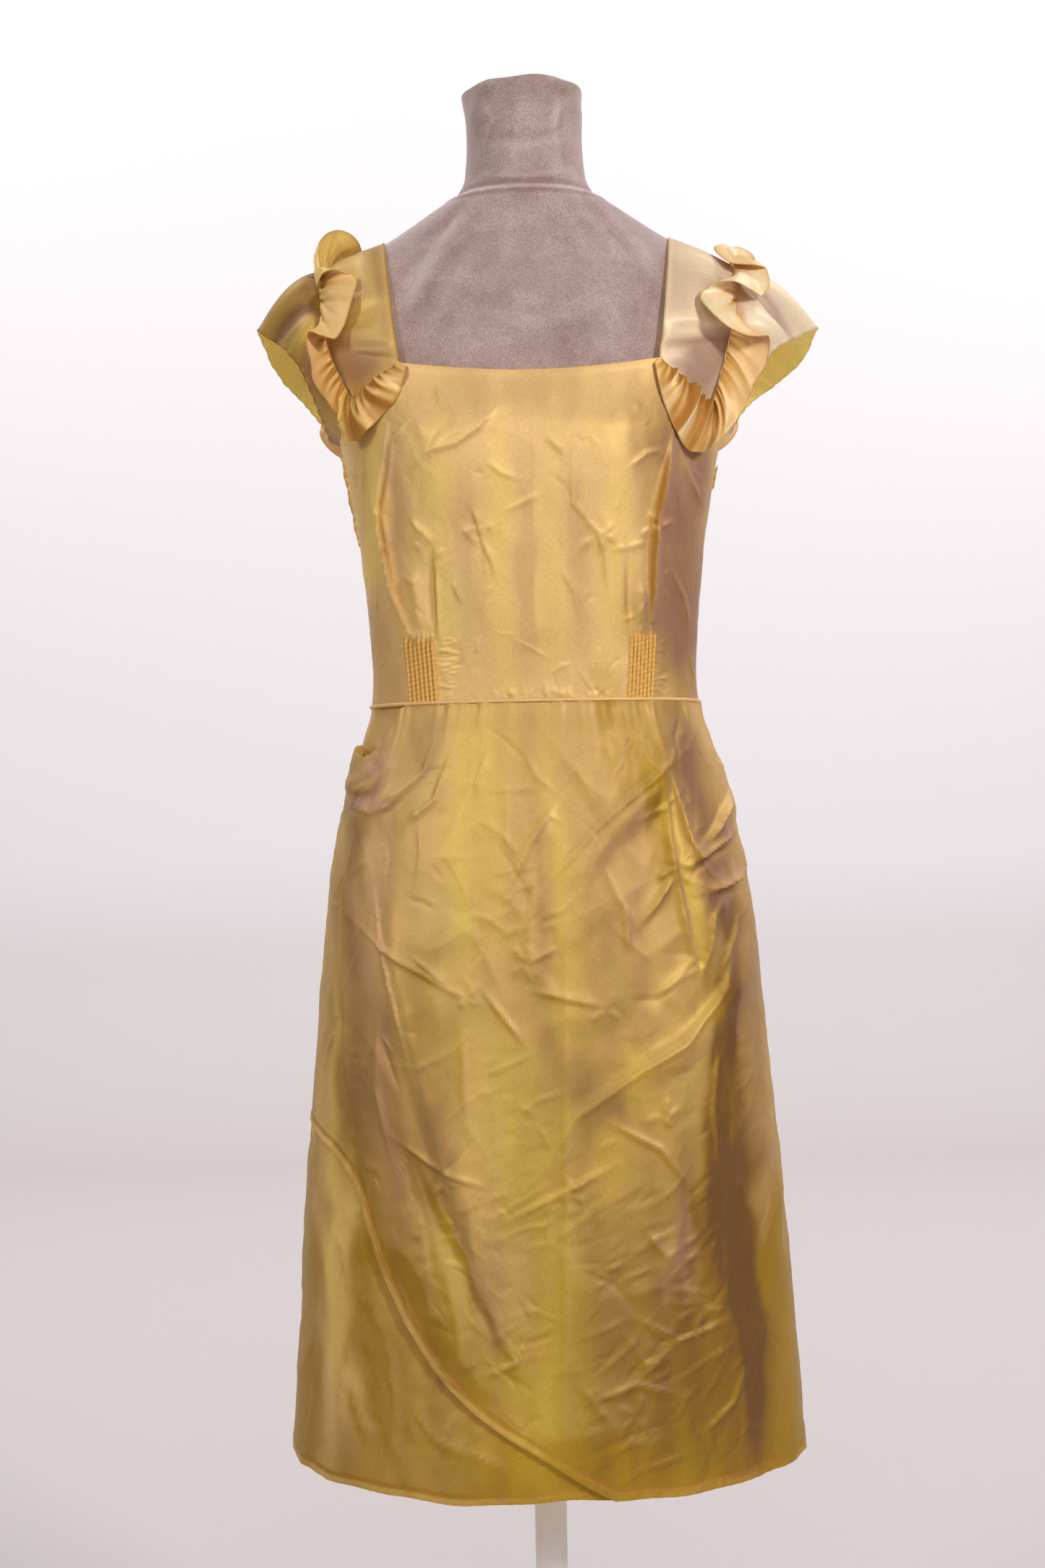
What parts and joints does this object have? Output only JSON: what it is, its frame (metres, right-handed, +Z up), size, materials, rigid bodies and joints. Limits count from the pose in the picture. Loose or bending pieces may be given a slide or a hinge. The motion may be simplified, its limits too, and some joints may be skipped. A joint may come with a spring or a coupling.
{
  "type": "silk taffeta dress on a limbless dress form",
  "caption": "Knee-length taffeta dress with a square neck, ruffled cap sleeves and a draped wrap skirt, worn by a limbless dress form on a slim stand.",
  "frame": {"origin": "centre of the underside of the stand's round foot, on the floor", "axes": "+Z up along the post, -Y is the wearer's front, +X is the wearer's left"},
  "size_m": [0.435, 0.3313, 1.482],
  "materials": {
    "taffeta": "shot silk taffeta, gold and mauve, soft sheen",
    "taffeta_light": "shot silk taffeta, light orange gold, soft sheen",
    "velvet": "crushed mauve velvet",
    "stand_paint": "satin off-white"
  },
  "bodies": {
    "root": {"bodice_front": "taffeta", "bodice_back": "taffeta", "yoke_left": "taffeta", "yoke_right": "taffeta", "sleeve_left": "taffeta", "sleeve_right": "taffeta", "ruffle_left": "taffeta_light", "ruffle_right": "taffeta_light", "waist_piping": "taffeta", "skirt_wrap": "taffeta", "skirt_under": "taffeta", "skirt_back": "taffeta", "placket_right": "taffeta", "tab_left": "taffeta", "form_torso": "velvet", "stand_post": "stand_paint", "stand_base": "stand_paint"}
  },
  "joints": []
}
